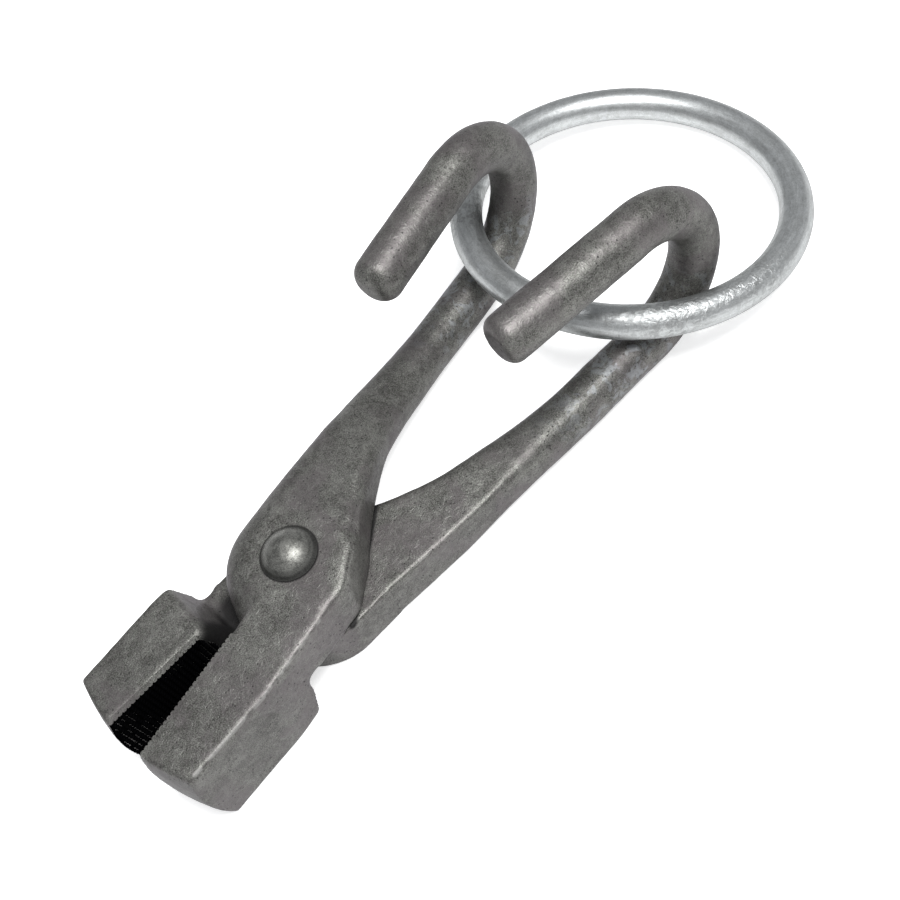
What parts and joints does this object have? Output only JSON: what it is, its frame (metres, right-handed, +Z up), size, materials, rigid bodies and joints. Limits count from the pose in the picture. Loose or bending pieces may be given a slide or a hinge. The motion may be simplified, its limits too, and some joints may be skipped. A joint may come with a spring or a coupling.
{
  "type": "wire draw tongs",
  "caption": "Forged wire draw tongs: lapped halves on a domed rivet, cross-serrated jaws, cranked reins ending in upturned hooks, and a loose pull ring.",
  "frame": {"origin": "on the rivet's axis, at the lap between the two halves", "axes": "+X from the jaws to the pull ring, +Y towards the rein of the upper half, +Z up, away from the bench the tongs lie on"},
  "size_m": [0.2658, 0.1094, 0.0632],
  "materials": {
    "forged_steel": "dark forged skin, satin, finely pitted",
    "rivet_steel": "dark satin, worn on the crown",
    "zinc_wire": "bright zinc with streaks along the wire"
  },
  "bodies": {
    "rivet": {"pivot_rivet": "rivet_steel"},
    "upper": {"upper_half": "forged_steel"},
    "lower": {"lower_half": "forged_steel"},
    "ring": {"pull_ring": "zinc_wire"}
  },
  "joints": [
    {"name": "upper_pivot", "type": "hinge", "parent": "rivet", "child": "upper", "pos_m": [0, 0, 0], "axis": [0, 0, 1], "range_deg": [-5.05, 0]},
    {"name": "lower_pivot", "type": "hinge", "parent": "rivet", "child": "lower", "pos_m": [0, 0, 0], "axis": [0, 0, 1], "range_deg": [0, 5.05]},
    {"name": "ring_swing", "type": "hinge", "parent": "rivet", "child": "ring", "pos_m": [0.1015, 0.002, 0.0064], "axis": [0, -1, 0], "range_deg": [0, 160]}
  ],
  "couplings": [
    {"joint": "lower_pivot", "follows": "upper_pivot", "ratio": -1}
  ]
}
